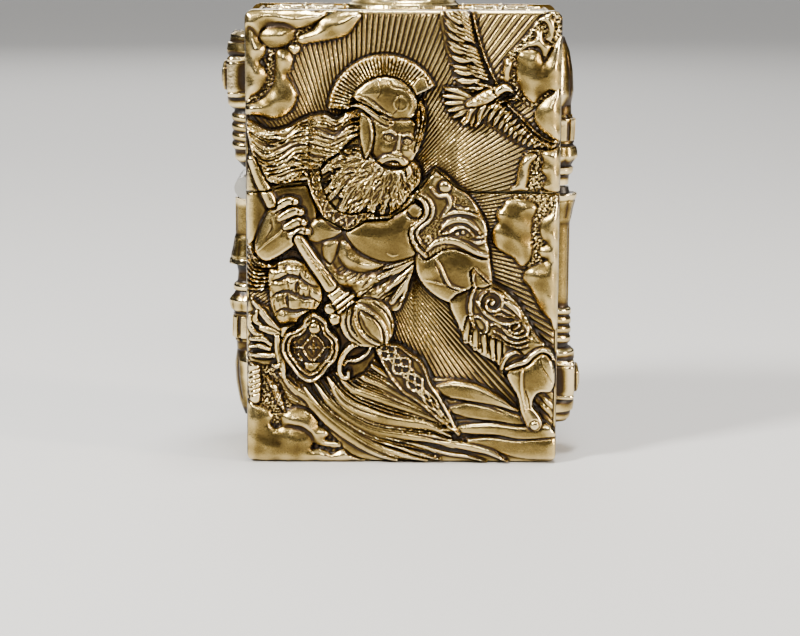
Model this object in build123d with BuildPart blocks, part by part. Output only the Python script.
"""A flip-top petrol lighter in a brass case covered with cast relief plates.

The case and the lid are drawn brass shells with relief plates soldered to their faces. Inside
stands a steel insert with its wick, flint, spark wheel, chimney and the cam that snaps the lid.
Frame: +Z up, the lighter's picture side faces -Y, and the origin is the middle of the base.
"""

import os
from math import cos, pi, sin

from build123d import *

os.makedirs("parts", exist_ok=True)

# ---- Case and lid shells ----
CASE_W, CASE_D = 37.6, 13.0  # outside of the drawn shells
BASE_H, LID_H = 34.4, 22.4  # heights below and above the split
WALL = 0.8
CASE_R = 2.0  # corner radius in plan
FOOT_R = 0.5  # rounding round the base and the roof
SPLIT_GAP = 0.3
ROOF_DROP = 0.8  # the roof lies this far below the plates' top edge

# ---- Relief plates ----
PLATE_LIP = 0.7  # the plates reach this far past the case's sides
PLATE_T = 1.1  # metal behind the ground of the relief
PLATE_R = 1.2
RELIEF = 2.1  # highest relief above the ground
TONGUE_CLEAR = 0.2  # behind the parts of a plate that hang past the split
TOP_RELIEF = 1.2  # highest ornament above the top plate

# ---- Hinge ----
HINGE_OUT = 0.9  # axis outside the case's side
BARREL_R = 1.4
HINGE_L = CASE_D - 2 * CASE_R  # the flat of the case's side
KNUCKLES = 5  # the case holds the odd ones
KNUCKLE_GAP = 0.1
PIN_R = 0.55
PIN_CLEAR = 0.05
PIN_HEAD_T = 0.3
LEAF_T = 0.45
LEAF_H = 7.0
NOTCH_CLEAR = 0.15

# ---- Insert ----
INSERT_CLEAR = 0.2
INSERT_SHEET = 0.45
DECK_T = 0.5
DECK_RISE = 1.6  # deck above the case's rim
TANK_FOOT = 0.2  # tank above the case's floor
CHIMNEY_L, CHIMNEY_D = 13.6, 9.2
CHIMNEY_X = -2.6  # middle of the chimney
CHIMNEY_SHEET = 0.6
CHIMNEY_R = 2.6
HEADROOM = 3.4  # chimney to lid roof
VENT_R = 0.95
VENT_ROWS = (3, 2, 3)
VENT_PITCH_X, VENT_PITCH_Z = 3.7, 3.4
EAR_R = 3.2  # cheek round the wheel's axle

# ---- Spark wheel, flint and its spring ----
WHEEL_R, WHEEL_W = 3.9, 5.0
WHEEL_TEETH = 30
TOOTH_H = 0.35
WHEEL_GAP_X = 1.4  # chimney wall to wheel
WHEEL_LIFT = 8.7  # axle above the deck
AXLE_R, AXLE_BORE_R = 1.0, 0.5
AXLE_CLEAR = 0.05
RIVET_HEAD_R, RIVET_HEAD_T = 1.55, 0.35
HUB_R = 1.9
FLINT_R, FLINT_L = 1.2, 5.0
TUBE_WALL = 0.6
TUBE_CLEAR = 0.1
FLINT_TO_WHEEL = 0.3
SCREW_HEAD_R, SCREW_HEAD_T = 2.5, 1.1
SCREW_L = 5.0
SLOT_W, SLOT_D = 0.7, 0.55
TIP_L = 2.2
SPRING_WIRE_R, SPRING_PITCH = 0.16, 1.7

# ---- Wick and packing ----
WICK_R = 1.4
WICK_CLEAR = 0.1
WICK_DROP = 5.0  # wick's end below the chimney's top
FELT_T = 1.8
PACK_GAP = 0.3

# ---- Cam and its spring ----
CAM_T = 3.0
CAM_HUB_R = 1.9
CAM_NOSE_R = 1.0
CAM_NOSE = (-3.2, 1.9)  # nose's centre from the pivot
CAM_LIFT = 2.9  # pivot above the deck
CAM_OUT = 3.6  # pivot left of the chimney
CAM_PIN_R = 0.6
CAM_SIDE_CLEAR = 0.25
LEAF_SPRING_T, LEAF_SPRING_W = 0.35, 2.4

# ---- Side spears ----
SPEAR_OUT = 0.8  # a spear's axis outside the case's side
SPEAR_TOP, SPEAR_FOOT = 3.1, 3.9  # left pommel below the top edge, right pommel above the base
HINGE_ROOM = 1.8  # the left spear stops this far below the hinge axis
HINGE_ROOM_UP = 2.1  # and this far above it
SPLIT_HALF = SPLIT_GAP / 2

# ---- Worked out ----
CASE_H = BASE_H + LID_H
ROOF_Z = CASE_H - ROOF_DROP
PLATE_W = CASE_W + 2 * PLATE_LIP
INNER_W, INNER_D, INNER_R = CASE_W - 2 * WALL, CASE_D - 2 * WALL, CASE_R - WALL
HINGE_X, HINGE_Z = -(CASE_W / 2 + HINGE_OUT), BASE_H
INNER_LEFT = -INNER_W / 2
TANK_W = INNER_W - LEAF_T - 2 * INSERT_CLEAR
TANK_D = INNER_D - 2 * INSERT_CLEAR
TANK_X = LEAF_T / 2
TANK_R = INNER_R - INSERT_CLEAR
TANK_Z = WALL + TANK_FOOT
DECK_Z = BASE_H + DECK_RISE
TANK_IN_W, TANK_IN_D = TANK_W - 2 * INSERT_SHEET, TANK_D - 2 * INSERT_SHEET
TANK_IN_R = TANK_R - INSERT_SHEET
CHIMNEY_TOP = ROOF_Z - WALL - HEADROOM
CHIMNEY_LEFT, CHIMNEY_RIGHT = CHIMNEY_X - CHIMNEY_L / 2, CHIMNEY_X + CHIMNEY_L / 2
WHEEL_X = CHIMNEY_RIGHT + WHEEL_GAP_X + WHEEL_R
WHEEL_Z = DECK_Z + WHEEL_LIFT
TUBE_BORE_R = FLINT_R + TUBE_CLEAR
TUBE_R = TUBE_BORE_R + TUBE_WALL
FLINT_TOP = WHEEL_Z - WHEEL_R - FLINT_TO_WHEEL
SCREW_Z = TANK_Z + 0.1
TUBE_Z = SCREW_Z + SCREW_HEAD_T
FELT_Z = TANK_Z + 0.1
PACK_Z = FELT_Z + FELT_T + PACK_GAP
CAM_X, CAM_Z = CHIMNEY_LEFT - CAM_OUT, DECK_Z + CAM_LIFT
WICK_X = CHIMNEY_X
WICK_TOP = CHIMNEY_TOP - WICK_DROP
EAR_IN = CHIMNEY_D / 2 - CHIMNEY_SHEET
CAM_EAR_IN = CAM_T / 2 + CAM_SIDE_CLEAR

FRONT = Plane((0, -CASE_D / 2, 0), x_dir=(1, 0, 0), z_dir=(0, -1, 0))
BACK = Plane((0, CASE_D / 2, 0), x_dir=(-1, 0, 0), z_dir=(0, 1, 0))


def save(part, name):
    part.label = name
    export_step(part, f"parts/{name}.step")


def side_plane(y=0.0):
    """The XZ plane at depth y, with sketch x along +X and sketch y along +Z."""
    return Plane((0, y, 0), x_dir=(1, 0, 0), z_dir=(0, -1, 0))


# ---------------------------------------------------------------- shells and hinge

NOTCH_L = HINGE_L + 2 * (PIN_HEAD_T + NOTCH_CLEAR)
NOTCH_R = BARREL_R + NOTCH_CLEAR

with BuildPart() as case_shell:
    with BuildSketch(Plane.XY):
        RectangleRounded(CASE_W, CASE_D, CASE_R)
    extrude(amount=BASE_H - SPLIT_HALF)
    fillet(case_shell.faces().sort_by(Axis.Z)[0].edges(), FOOT_R)
    with BuildSketch(Plane.XY.offset(WALL)):
        RectangleRounded(INNER_W, INNER_D, INNER_R)
    extrude(amount=BASE_H, mode=Mode.SUBTRACT)
    with BuildSketch(side_plane()):
        with Locations((-CASE_W / 2, HINGE_Z)):
            Rectangle(4 * WALL, 2 * NOTCH_R)
    extrude(amount=NOTCH_L / 2, both=True, mode=Mode.SUBTRACT)
save(case_shell.part, "case_shell")

with BuildPart() as lid_shell:
    with BuildSketch(Plane.XY.offset(BASE_H + SPLIT_HALF)):
        RectangleRounded(CASE_W, CASE_D, CASE_R)
    extrude(amount=ROOF_Z - BASE_H - SPLIT_HALF)
    fillet(lid_shell.faces().sort_by(Axis.Z)[-1].edges(), FOOT_R)
    with BuildSketch(Plane.XY.offset(BASE_H)):
        RectangleRounded(INNER_W, INNER_D, INNER_R)
    extrude(amount=ROOF_Z - WALL - BASE_H, mode=Mode.SUBTRACT)
    with BuildSketch(side_plane()):
        with Locations((-CASE_W / 2, HINGE_Z)):
            Rectangle(4 * WALL, 2 * NOTCH_R)
    extrude(amount=NOTCH_L / 2, both=True, mode=Mode.SUBTRACT)
save(lid_shell.part, "lid_shell")

KNUCKLE_PITCH = HINGE_L / KNUCKLES
KNUCKLE_L = KNUCKLE_PITCH - KNUCKLE_GAP


def hinge_leaf(up, knuckles, bore_r):
    """A hinge leaf inside the wall; up is 1 for the lid's and -1 for the case's."""
    plate_near, plate_far = up * (BARREL_R - LEAF_T), up * LEAF_H
    with BuildPart() as leaf:
        with BuildSketch(side_plane()):
            with Locations((INNER_LEFT + LEAF_T / 2, HINGE_Z + (plate_near + plate_far) / 2)):
                Rectangle(LEAF_T, abs(plate_far - plate_near))
        extrude(amount=HINGE_L / 2, both=True)
        for index in knuckles:
            middle = (index - (KNUCKLES - 1) / 2) * KNUCKLE_PITCH
            with BuildSketch(side_plane(middle)):
                with Locations((HINGE_X, HINGE_Z)):
                    Circle(BARREL_R)
                web_w = INNER_LEFT + LEAF_T - HINGE_X
                with Locations((HINGE_X + web_w / 2, HINGE_Z + up * (BARREL_R - LEAF_T / 2))):
                    Rectangle(web_w, LEAF_T)
            extrude(amount=KNUCKLE_L / 2, both=True)
        with BuildSketch(side_plane()):
            with Locations((HINGE_X, HINGE_Z)):
                Circle(bore_r)
        extrude(amount=HINGE_L, both=True, mode=Mode.SUBTRACT)
    return leaf.part


save(hinge_leaf(-1, range(0, KNUCKLES, 2), PIN_R), "hinge_leaf_case")
save(hinge_leaf(1, range(1, KNUCKLES, 2), PIN_R + PIN_CLEAR), "hinge_leaf_lid")

with BuildPart() as hinge_pin:
    with BuildSketch(side_plane()):
        with Locations((HINGE_X, HINGE_Z)):
            Circle(PIN_R)
    extrude(amount=HINGE_L / 2, both=True)
    for end in (-1, 1):
        with BuildSketch(side_plane(end * (HINGE_L / 2 - KNUCKLE_GAP / 2 + PIN_HEAD_T / 2))):
            with Locations((HINGE_X, HINGE_Z)):
                Circle(BARREL_R)
        extrude(amount=PIN_HEAD_T / 2, both=True)
save(hinge_pin.part, "hinge_pin")

# ---------------------------------------------------------------- relief plates

ART_W, ART_BASE_H, ART_LID_H = 39.0, 34.4, 22.4  # the size the picture was drawn at


def art(x, z):
    """A point of the picture, stretched to the plates as they are."""
    below = z * BASE_H / ART_BASE_H
    above = BASE_H + (z - ART_BASE_H) * LID_H / ART_LID_H
    return (x * PLATE_W / ART_W, below if z < ART_BASE_H else above)


# The front split runs under the hair and the collar and over the shoulder guard. About the
# hinge each radius meets it once, so the lid swings clear.
SPLIT_LINE = [
    (-19.5, 34.4), (-17.0, 34.5), (-14.8, 35.1), (-11.7, 35.4), (-11.2, 33.9), (-9.9, 31.3),
    (-6.8, 29.6), (-4.6, 30.9), (-1.8, 31.1), (0.4, 32.6), (1.3, 33.3), (1.7, 34.2),
    (2.2, 35.1), (4.1, 37.3), (6.7, 35.1), (8.2, 34.4),
]  # fmt: skip


def split_region(above):
    """The outline of everything above, or below, the front split, less half the gap."""
    shift = SPLIT_HALF if above else -SPLIT_HALF
    middle = [(x, z + shift) for x, z in (art(*point) for point in SPLIT_LINE)]
    far = CASE_H + PLATE_W if above else -PLATE_W
    ends = [(-PLATE_W, BASE_H + shift), *middle, (PLATE_W, BASE_H + shift)]
    return [*ends, (PLATE_W, far), (-PLATE_W, far)]


def straight_region(above):
    """The same for the back plates, which part in a straight line."""
    edge = BASE_H + (SPLIT_HALF if above else -SPLIT_HALF)
    far = CASE_H + PLATE_W if above else -PLATE_W
    return [(-PLATE_W, edge), (PLATE_W, edge), (PLATE_W, far), (-PLATE_W, far)]


def capsule(start, end, width):
    """A round-ended bar of the picture, in the open sketch."""
    (x0, z0), (x1, z1) = art(*start), art(*end)
    bar = Vector(x1 - x0, z1 - z0)
    angle = Vector(1, 0, 0).get_signed_angle(bar)
    with Locations(Location(((x0 + x1) / 2, (z0 + z1) / 2, 0), (0, 0, angle))):
        SlotCenterToCenter(bar.length, width)


def relief_plate(face, region, masses, hangs_over):
    """One plate: its ground, the picture's main masses, and a relieved back past the split."""
    with BuildPart() as plate:
        with BuildSketch(face):
            with Locations((0, CASE_H / 2)):
                RectangleRounded(PLATE_W, CASE_H, PLATE_R)
            Polygon(*region, align=None, mode=Mode.INTERSECT)
        extrude(amount=PLATE_T)
        for height, bars in masses:
            with BuildSketch(face.offset(PLATE_T / 2)):
                for bar in bars:
                    capsule(*bar)
                with Locations((0, CASE_H / 2)):
                    RectangleRounded(PLATE_W, CASE_H, PLATE_R, mode=Mode.INTERSECT)
                Polygon(*region, align=None, mode=Mode.INTERSECT)
            extrude(amount=PLATE_T / 2 + height)
        if hangs_over:
            with BuildSketch(face):
                with Locations((0, BASE_H + hangs_over * (CASE_H + SPLIT_HALF) / 2)):
                    Rectangle(2 * PLATE_W, CASE_H + 2 * SPLIT_GAP)
            extrude(amount=TONGUE_CLEAR, mode=Mode.SUBTRACT)
    return plate.part


CLOUD_H, CLOTH_H, FIGURE_H = 0.8, 0.9, 1.5
LEFT_CLOUDS = [((-16.5, 46.2), (-16.5, 52.8), 4.6), ((-15.8, 53.6), (-7.5, 54.2), 3.6)]
EAGLE = [((7.0, 53.5), (10.6, 47.6), 2.6), ((11.0, 47.0), (15.6, 44.2), 2.2)]
UPPER_MASSES = [
    (CLOUD_H, [*LEFT_CLOUDS, ((17.2, 36.5), (17.2, 53.5), 3.6), *EAGLE]),
    (FIGURE_H, [((-17.0, 39.4), (-8.0, 40.2), 5.6), ((-6.2, 39.8), (-2.4, 35.2), 8.0)]),
    (RELIEF, [((-3.4, 45.6), (-1.4, 44.0), 9.0)]),
]
LOWER_MASSES = [
    (CLOUD_H, [((14.6, 29.0), (16.8, 20.4), 4.4), ((-16.6, 2.4), (-8.0, 2.0), 4.0)]),
    (CLOTH_H, [((-15.0, 10.4), (-1.0, 3.4), 6.6), ((-4.0, 7.6), (14.0, 3.2), 5.2)]),
    (FIGURE_H, [((-12.0, 27.8), (1.2, 28.6), 7.6), ((-12.6, 21.4), (-3.6, 19.4), 6.8)]),
    (FIGURE_H, [((5.6, 24.4), (16.2, 12.6), 5.4), ((16.2, 12.0), (16.6, 6.6), 3.2)]),
    (RELIEF, [((3.6, 31.0), (7.6, 29.0), 8.0), ((-16.6, 30.0), (-13.8, 30.8), 5.6)]),
    (RELIEF, [((-14.0, 27.6), (4.6, 6.6), 2.6)]),
]
CROSSED_SHAFTS = (FIGURE_H, [((-14.0, 5.0), (14.0, 47.0), 2.0), ((14.0, 5.0), (-14.0, 47.0), 2.0)])
BACK_UPPER_MASSES = [
    (CLOUD_H, [((-17.0, 53.4), (-9.0, 54.4), 4.0), ((17.0, 53.4), (9.0, 54.4), 4.0)]),
    CROSSED_SHAFTS,
]
BACK_LOWER_MASSES = [
    (CLOUD_H, [((-17.0, 3.0), (-9.0, 2.2), 4.2), ((17.0, 3.0), (9.0, 2.2), 4.2)]),
    CROSSED_SHAFTS,
    (RELIEF, [((-0.1, 21.0), (0.1, 21.0), 20.0)]),
]

save(relief_plate(FRONT, split_region(False), LOWER_MASSES, 1), "front_relief_lower")
save(relief_plate(FRONT, split_region(True), UPPER_MASSES, -1), "front_relief_upper")
save(relief_plate(BACK, straight_region(False), BACK_LOWER_MASSES, 0), "back_relief_lower")
save(relief_plate(BACK, straight_region(True), BACK_UPPER_MASSES, 0), "back_relief_upper")

with BuildPart() as top_relief:
    with BuildSketch(Plane.XY.offset(ROOF_Z)):
        RectangleRounded(CASE_W - 2 * FOOT_R, CASE_D - 2 * FOOT_R, CASE_R - FOOT_R)
    extrude(amount=ROOF_DROP)
    with BuildSketch(Plane.XY.offset(ROOF_Z)):
        Ellipse(7.0, (CASE_D - 2 * FOOT_R) / 2 - 0.6)
    extrude(amount=ROOF_DROP + TOP_RELIEF, taper=12)
    with BuildSketch(Plane.XY.offset(ROOF_Z)):
        SlotOverall(CASE_W - 5.0, 6.0)
    extrude(amount=ROOF_DROP + TOP_RELIEF / 3)
save(top_relief.part, "top_relief")

# ---------------------------------------------------------------- side spears

# Radius about the spear's axis against distance from the pommel's end, as turned lengths.
CAP_R, NECK_R, ROD_R = 2.3, 1.7, 1.75
COLLAR_R, BULB_R, SOCKET_R = 2.6, 2.6, 2.3
SPEAR_TURNED = [
    (0.0, CAP_R - 0.3), (1.4, CAP_R), (1.4, CAP_R + 0.4), (3.1, CAP_R + 0.5), (8.1, CAP_R + 0.4),
    (9.7, CAP_R), (9.7, ROD_R), (25.7, ROD_R), (26.2, 2.0), (29.3, COLLAR_R), (29.6, NECK_R),
    (32.0, NECK_R), (32.4, 2.1), (33.0, 2.1), (34.4, BULB_R), (35.9, SOCKET_R), (39.1, SOCKET_R),
    (40.7, 1.8), (40.7, 0.0),
]  # fmt: skip
WRAP_FROM, WRAP_RINGS, WRAP_PITCH, WRAP_R = 10.6, 4, 1.12, 2.1
WRAP_RING_R = 0.55
BLOCK_FROM, BLOCK_TO, BLOCK_HALF_Y, BLOCK_OUT = 3.1, 8.1, 3.0, 2.6
BOSS_R, BOSS_AT, BOSS_OUT = 1.9, 5.0, 3.35
BLADE_FROM, BLADE_TO = 40.7, 49.3
BLADE_HALF_Y, BLADE_OUT, BLADE_TIP = 2.9, 2.0, 0.5
SPEAR_X = CASE_W / 2 + SPEAR_OUT


def spear(side, low, high, end_round):
    """A side spear between two heights: side 1 stands on its pommel, -1 hangs from it."""
    drawn_foot = SPEAR_FOOT if side > 0 else ART_BASE_H + ART_LID_H - SPEAR_TOP
    foot = art(0, drawn_foot)[1]
    face = Plane((side * SPEAR_X, 0, foot), x_dir=(side, 0, 0), z_dir=(0, -1, 0))
    axis = Axis(face.origin, face.y_dir)

    def reach(along):
        """How far from the pommel's end a drawn length comes on a case of this height."""
        return side * (art(0, drawn_foot + side * along)[1] - foot)

    def cross_plane(along):
        return Plane(face.origin + face.y_dir * reach(along), x_dir=face.x_dir, z_dir=face.y_dir)

    with BuildPart() as piece:
        with BuildSketch(face):
            turned = [(radius, reach(along)) for along, radius in SPEAR_TURNED]
            Polygon((0, 0), *turned, align=None)
        revolve(axis=axis)
        for ring in range(WRAP_RINGS):
            with BuildSketch(face):
                with Locations((WRAP_R - WRAP_RING_R, reach(WRAP_FROM + ring * WRAP_PITCH))):
                    Circle(WRAP_RING_R)
            revolve(axis=axis)
        with BuildSketch(cross_plane(BLOCK_FROM)):
            Rectangle(2 * BLOCK_OUT, 2 * BLOCK_HALF_Y)
        extrude(amount=reach(BLOCK_TO) - reach(BLOCK_FROM))
        boss = Plane(face.origin + face.y_dir * reach(BOSS_AT), z_dir=face.x_dir)
        with BuildSketch(boss):
            Circle(BOSS_R)
        extrude(amount=BOSS_OUT)
        with BuildSketch(cross_plane(BLADE_FROM - 0.5)):
            diamond = [(BLADE_OUT, 0), (0, BLADE_HALF_Y), (-BLADE_OUT, 0), (0, -BLADE_HALF_Y)]
            Polygon(*diamond, align=None)
        with BuildSketch(cross_plane(BLADE_TO)):
            Polygon(*[(BLADE_TIP * x, BLADE_TIP / 3 * y) for x, y in diamond], align=None)
        loft()
        with BuildSketch(side_plane()):
            with Locations((side * (CASE_W / 2 + CASE_W), (low + high) / 2)):
                Rectangle(2 * CASE_W, high - low)
        extrude(amount=CASE_D / 2, both=True, mode=Mode.INTERSECT)
        if end_round:
            outer = piece.faces().sort_by(Axis.Z)[0].edges().filter_by(GeomType.CIRCLE)
            chamfer(outer, *end_round)
    return piece.part


LEFT_UP_FROM = HINGE_Z + HINGE_ROOM_UP
save(spear(-1, LEFT_UP_FROM, CASE_H, (1.1, 0.85)), "left_spear_upper")
save(spear(-1, 0, HINGE_Z - HINGE_ROOM, None), "left_spear_lower")
save(spear(1, BASE_H + SPLIT_HALF, CASE_H, None), "right_spear_upper")
save(spear(1, 0, BASE_H - SPLIT_HALF, None), "right_spear_lower")

# ---------------------------------------------------------------- insert

SLOT_X0, SLOT_X1 = CAM_X - 1.4, CAM_X + 2.2  # deck slot for the cam's spring
SLOT_HALF = LEAF_SPRING_W / 2 + 0.2

with BuildPart() as insert_tank:
    with BuildSketch(Plane.XY.offset(TANK_Z)):
        with Locations((TANK_X, 0)):
            RectangleRounded(TANK_W, TANK_D, TANK_R)
            RectangleRounded(TANK_IN_W, TANK_IN_D, TANK_IN_R, mode=Mode.SUBTRACT)
    extrude(amount=DECK_Z - DECK_T - TANK_Z)
save(insert_tank.part, "insert_tank")

with BuildPart() as insert_deck:
    with BuildSketch(Plane.XY.offset(DECK_Z - DECK_T)):
        with Locations((TANK_X, 0)):
            RectangleRounded(TANK_W, TANK_D, TANK_R)
        with Locations((WICK_X, 0)):
            Circle(WICK_R + WICK_CLEAR, mode=Mode.SUBTRACT)
        with Locations((WHEEL_X, 0)):
            Circle(TUBE_R, mode=Mode.SUBTRACT)
        with Locations(((SLOT_X0 + SLOT_X1) / 2, 0)):
            Rectangle(SLOT_X1 - SLOT_X0, 2 * SLOT_HALF, mode=Mode.SUBTRACT)
    extrude(amount=DECK_T)
    fillet(insert_deck.faces().sort_by(Axis.Z)[-1].outer_wire().edges(), DECK_T / 2)
save(insert_deck.part, "insert_deck")

CHIMNEY_H = CHIMNEY_TOP - DECK_Z
vent_rise = min(VENT_PITCH_Z, (CHIMNEY_H - 4.0) / len(VENT_ROWS))

with BuildPart() as chimney:
    with BuildSketch(Plane.XY.offset(DECK_Z)):
        with Locations((CHIMNEY_X, 0)):
            RectangleRounded(CHIMNEY_L, CHIMNEY_D, CHIMNEY_R)
    extrude(amount=CHIMNEY_H)
    for depth in (EAR_IN + CHIMNEY_SHEET / 2, -EAR_IN - CHIMNEY_SHEET / 2):
        with BuildSketch(side_plane(depth)):  # cheeks that carry the wheel
            with Locations((WHEEL_X, WHEEL_Z)):
                Circle(EAR_R)
            cheek = [
                (CHIMNEY_X, DECK_Z), (WHEEL_X + EAR_R, DECK_Z), (WHEEL_X + EAR_R, WHEEL_Z),
                (WHEEL_X, WHEEL_Z + EAR_R), (CHIMNEY_RIGHT, WHEEL_Z + EAR_R), (CHIMNEY_X, WHEEL_Z),
            ]  # fmt: skip
            Polygon(*cheek, align=None)
        extrude(amount=CHIMNEY_SHEET / 2, both=True)
    with BuildSketch(Plane.XY.offset(DECK_Z)):
        with Locations((CHIMNEY_X, 0)):
            inner_r = CHIMNEY_R - CHIMNEY_SHEET
            RectangleRounded(
                CHIMNEY_L - 2 * CHIMNEY_SHEET, CHIMNEY_D - 2 * CHIMNEY_SHEET, inner_r
            )
    extrude(amount=CHIMNEY_H, mode=Mode.SUBTRACT)
    for depth in (CAM_EAR_IN + CHIMNEY_SHEET / 2, -CAM_EAR_IN - CHIMNEY_SHEET / 2):
        with BuildSketch(side_plane(depth)):  # ears that carry the cam
            with Locations((CAM_X, CAM_Z)):
                Circle(CAM_HUB_R)
            ear = [
                (CAM_X - CAM_HUB_R, DECK_Z), (CHIMNEY_LEFT + CHIMNEY_SHEET / 2, DECK_Z),
                (CHIMNEY_LEFT + CHIMNEY_SHEET / 2, CAM_Z + CAM_HUB_R), (CAM_X, CAM_Z + CAM_HUB_R),
                (CAM_X - CAM_HUB_R, CAM_Z),
            ]  # fmt: skip
            Polygon(*ear, align=None)
        extrude(amount=CHIMNEY_SHEET / 2, both=True)
    with BuildSketch(side_plane()):  # vents through both walls
        for row, count in enumerate(VENT_ROWS):
            rise = CHIMNEY_H / 2 + (row - (len(VENT_ROWS) - 1) / 2) * vent_rise + 0.8
            with Locations((CHIMNEY_X, DECK_Z + rise)):
                with GridLocations(VENT_PITCH_X, 1, count, 1):
                    Circle(VENT_R)
    extrude(amount=CHIMNEY_D, both=True, mode=Mode.SUBTRACT)
    with BuildSketch(side_plane()):  # the spark window behind the wheel
        window_low, window_high = FLINT_TOP - 2.0, WHEEL_Z + WHEEL_R - 1.0
        with Locations((CHIMNEY_RIGHT, (window_low + window_high) / 2)):
            Rectangle(2 * WHEEL_GAP_X, window_high - window_low)
    extrude(amount=WHEEL_W / 2 + 0.4, both=True, mode=Mode.SUBTRACT)
    with BuildSketch(side_plane()):
        with Locations((WHEEL_X, WHEEL_Z)):
            Circle(AXLE_R)
    extrude(amount=CHIMNEY_D, both=True, mode=Mode.SUBTRACT)
    with BuildSketch(side_plane()):
        with Locations((CAM_X, CAM_Z)):
            Circle(CAM_PIN_R)
    extrude(amount=CHIMNEY_D, both=True, mode=Mode.SUBTRACT)
save(chimney.part, "chimney")

# ---------------------------------------------------------------- spark wheel and flint

tooth_points = []
for step in range(2 * WHEEL_TEETH):
    tooth_angle = pi * step / WHEEL_TEETH
    tooth_r = WHEEL_R - TOOTH_H * (step % 2)
    tooth_points.append((tooth_r * cos(tooth_angle), tooth_r * sin(tooth_angle)))

with BuildPart() as spark_wheel:
    with BuildSketch(side_plane()):
        with Locations((WHEEL_X, WHEEL_Z)):
            Polygon(*tooth_points, align=None)
    extrude(amount=WHEEL_W / 2, both=True)
    with BuildSketch(side_plane()):
        with Locations((WHEEL_X, WHEEL_Z)):
            Circle(HUB_R)
    extrude(amount=EAR_IN - 0.15, both=True)
    with BuildSketch(side_plane()):
        with Locations((WHEEL_X, WHEEL_Z)):
            Circle(AXLE_R + AXLE_CLEAR)
    extrude(amount=CHIMNEY_D, both=True, mode=Mode.SUBTRACT)
save(spark_wheel.part, "spark_wheel")


def rivet(x, z, shank_r, bore_r, half_length):
    """A rivet along Y with a flat head at each end, hollow when bore_r isn't 0."""
    with BuildPart() as pin:
        with BuildSketch(side_plane()):
            with Locations((x, z)):
                Circle(shank_r)
        extrude(amount=half_length, both=True)
        for end in (-1, 1):
            with BuildSketch(side_plane(end * (half_length + RIVET_HEAD_T / 2))):
                with Locations((x, z)):
                    Circle(shank_r + RIVET_HEAD_R - AXLE_R)
            extrude(amount=RIVET_HEAD_T / 2, both=True)
        if bore_r:
            with BuildSketch(side_plane()):
                with Locations((x, z)):
                    Circle(bore_r)
            extrude(amount=CHIMNEY_D, both=True, mode=Mode.SUBTRACT)
    return pin.part


save(rivet(WHEEL_X, WHEEL_Z, AXLE_R, AXLE_BORE_R, CHIMNEY_D / 2), "wheel_axle")
save(rivet(CAM_X, CAM_Z, CAM_PIN_R, 0, CAM_EAR_IN + CHIMNEY_SHEET), "cam_pin")

TUBE_TOP = FLINT_TOP - 0.6

with BuildPart() as flint_tube:
    with BuildSketch(Plane.XY.offset(TUBE_Z)):
        with Locations((WHEEL_X, 0)):
            Circle(TUBE_R)
            Circle(TUBE_BORE_R, mode=Mode.SUBTRACT)
    extrude(amount=TUBE_TOP - TUBE_Z)
save(flint_tube.part, "flint_tube")

with BuildPart() as flint:
    with BuildSketch(Plane.XY.offset(FLINT_TOP - FLINT_L)):
        with Locations((WHEEL_X, 0)):
            Circle(FLINT_R)
    extrude(amount=FLINT_L)
save(flint.part, "flint")

TIP_Z = FLINT_TOP - FLINT_L - TIP_L
SCREW_END = TUBE_Z + SCREW_L

with BuildPart() as spring_tip:
    with BuildSketch(Plane.XY.offset(TIP_Z + TIP_L / 2)):
        with Locations((WHEEL_X, 0)):
            Circle(FLINT_R)
    extrude(amount=TIP_L / 2)
    with BuildSketch(Plane.XY.offset(TIP_Z)):
        with Locations((WHEEL_X, 0)):
            Circle(FLINT_R / 2)
    extrude(amount=TIP_L / 2)
save(spring_tip.part, "spring_tip")

with BuildPart() as flint_screw:
    with BuildSketch(Plane.XY.offset(SCREW_Z)):
        with Locations((WHEEL_X, 0)):
            Circle(SCREW_HEAD_R)
    extrude(amount=SCREW_HEAD_T)
    with BuildSketch(Plane.XY.offset(TUBE_Z)):
        with Locations((WHEEL_X, 0)):
            Circle(TUBE_BORE_R)
    extrude(amount=SCREW_L)
    with BuildSketch(Plane.XY.offset(SCREW_Z)):
        with Locations((WHEEL_X, 0)):
            Rectangle(3 * SCREW_HEAD_R, SLOT_W)
    extrude(amount=SLOT_D, mode=Mode.SUBTRACT)
save(flint_screw.part, "flint_screw")

coil_low = SCREW_END + SPRING_WIRE_R + 0.1
coil_high = TIP_Z + TIP_L / 2 - SPRING_WIRE_R - 0.1

with BuildPart() as flint_spring:
    with BuildLine():
        coil = Helix(
            pitch=SPRING_PITCH,
            height=coil_high - coil_low,
            radius=FLINT_R - SPRING_WIRE_R - 0.05,
            center=(WHEEL_X, 0, coil_low),
        )
    with BuildSketch(Plane(origin=coil @ 0, z_dir=coil % 0)):
        Circle(SPRING_WIRE_R)
    sweep(is_frenet=True)
save(flint_spring.part, "flint_spring")

# ---------------------------------------------------------------- wick and packing

PACK_TOP = DECK_Z - DECK_T - 2.4
WICK_FOOT = PACK_Z + 3.0

with BuildPart() as wick:
    with BuildSketch(Plane.XY.offset(WICK_FOOT)):
        with Locations((WICK_X, 0)):
            Circle(WICK_R)
    extrude(amount=WICK_TOP - WICK_FOOT)
    fillet(wick.faces().sort_by(Axis.Z)[-1].edges(), WICK_R / 3)
save(wick.part, "wick")

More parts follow.
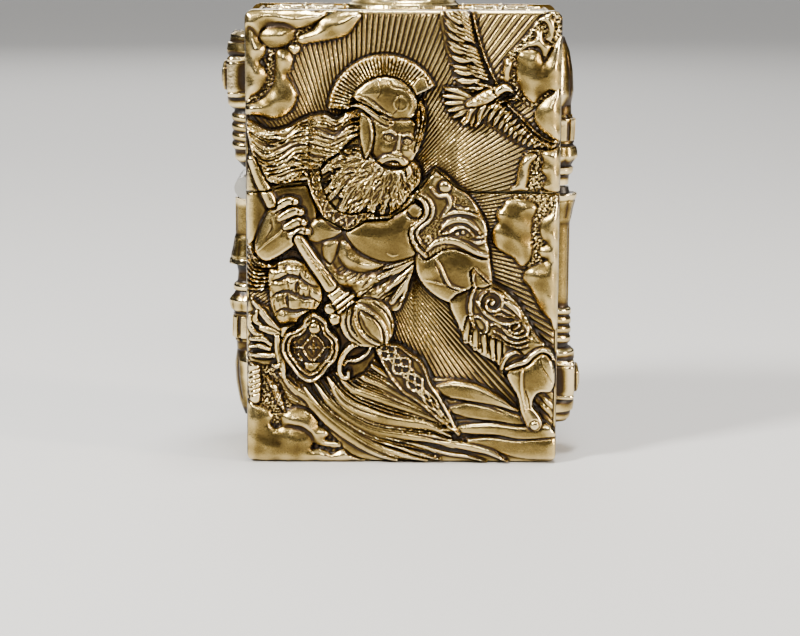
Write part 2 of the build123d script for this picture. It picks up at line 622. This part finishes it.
with BuildPart() as cotton_packing:
    with BuildSketch(Plane.XY.offset(PACK_Z)):
        with Locations((TANK_X, 0)):
            RectangleRounded(TANK_IN_W - PACK_GAP, TANK_IN_D - PACK_GAP, TANK_IN_R)
        with Locations((WHEEL_X, 0)):
            Circle(TUBE_R + WICK_CLEAR, mode=Mode.SUBTRACT)
    extrude(amount=PACK_TOP - PACK_Z)
    with BuildSketch(Plane.XY.offset(WICK_FOOT - WICK_CLEAR)):
        with Locations((WICK_X, 0)):
            Circle(WICK_R + WICK_CLEAR / 2)
    extrude(amount=PACK_TOP, mode=Mode.SUBTRACT)
save(cotton_packing.part, "cotton_packing")

with BuildPart() as felt_pad:
    with BuildSketch(Plane.XY.offset(FELT_Z)):
        with Locations((TANK_X, 0)):
            RectangleRounded(TANK_IN_W - PACK_GAP, TANK_IN_D - PACK_GAP, TANK_IN_R)
        with Locations((WHEEL_X, 0)):
            Circle(SCREW_HEAD_R + PACK_GAP, mode=Mode.SUBTRACT)
    extrude(amount=FELT_T)
save(felt_pad.part, "felt_pad")

# ---------------------------------------------------------------- cam and leaf spring

with BuildPart() as lid_cam:
    with BuildSketch(side_plane()):
        with Locations((CAM_X, CAM_Z)):
            Circle(CAM_HUB_R)
        with Locations((CAM_X + CAM_NOSE[0], CAM_Z + CAM_NOSE[1])):
            Circle(CAM_NOSE_R)
        make_hull()
        with Locations((CAM_X, CAM_Z)):
            Circle(CAM_PIN_R + AXLE_CLEAR, mode=Mode.SUBTRACT)
    extrude(amount=CAM_T / 2, both=True)
save(lid_cam.part, "lid_cam")

SPRING_Z = DECK_Z - DECK_T - 0.6
with BuildPart() as cam_spring:
    with BuildSketch(side_plane()):
        with BuildLine():
            tip_z = CAM_Z - CAM_HUB_R - 0.15 - LEAF_SPRING_T / 2
            low_z = SPRING_Z - LEAF_SPRING_T / 2
            bent = [
                (CAM_X - 0.4, tip_z), (CAM_X + 0.5, tip_z), (CAM_X + 1.6, low_z),
                (WICK_X - WICK_R - 1.6, low_z),
            ]  # fmt: skip
            FilletPolyline(*bent, radius=0.35)
        trace(line_width=LEAF_SPRING_T)
    extrude(amount=LEAF_SPRING_W / 2, both=True)
    with BuildSketch(Plane.XY.offset(low_z - LEAF_SPRING_T / 2)):
        with Locations((WICK_X - WICK_R - 2.6, 0)):
            Rectangle(2.2, TANK_IN_D)
    extrude(amount=LEAF_SPRING_T)
save(cam_spring.part, "cam_spring")
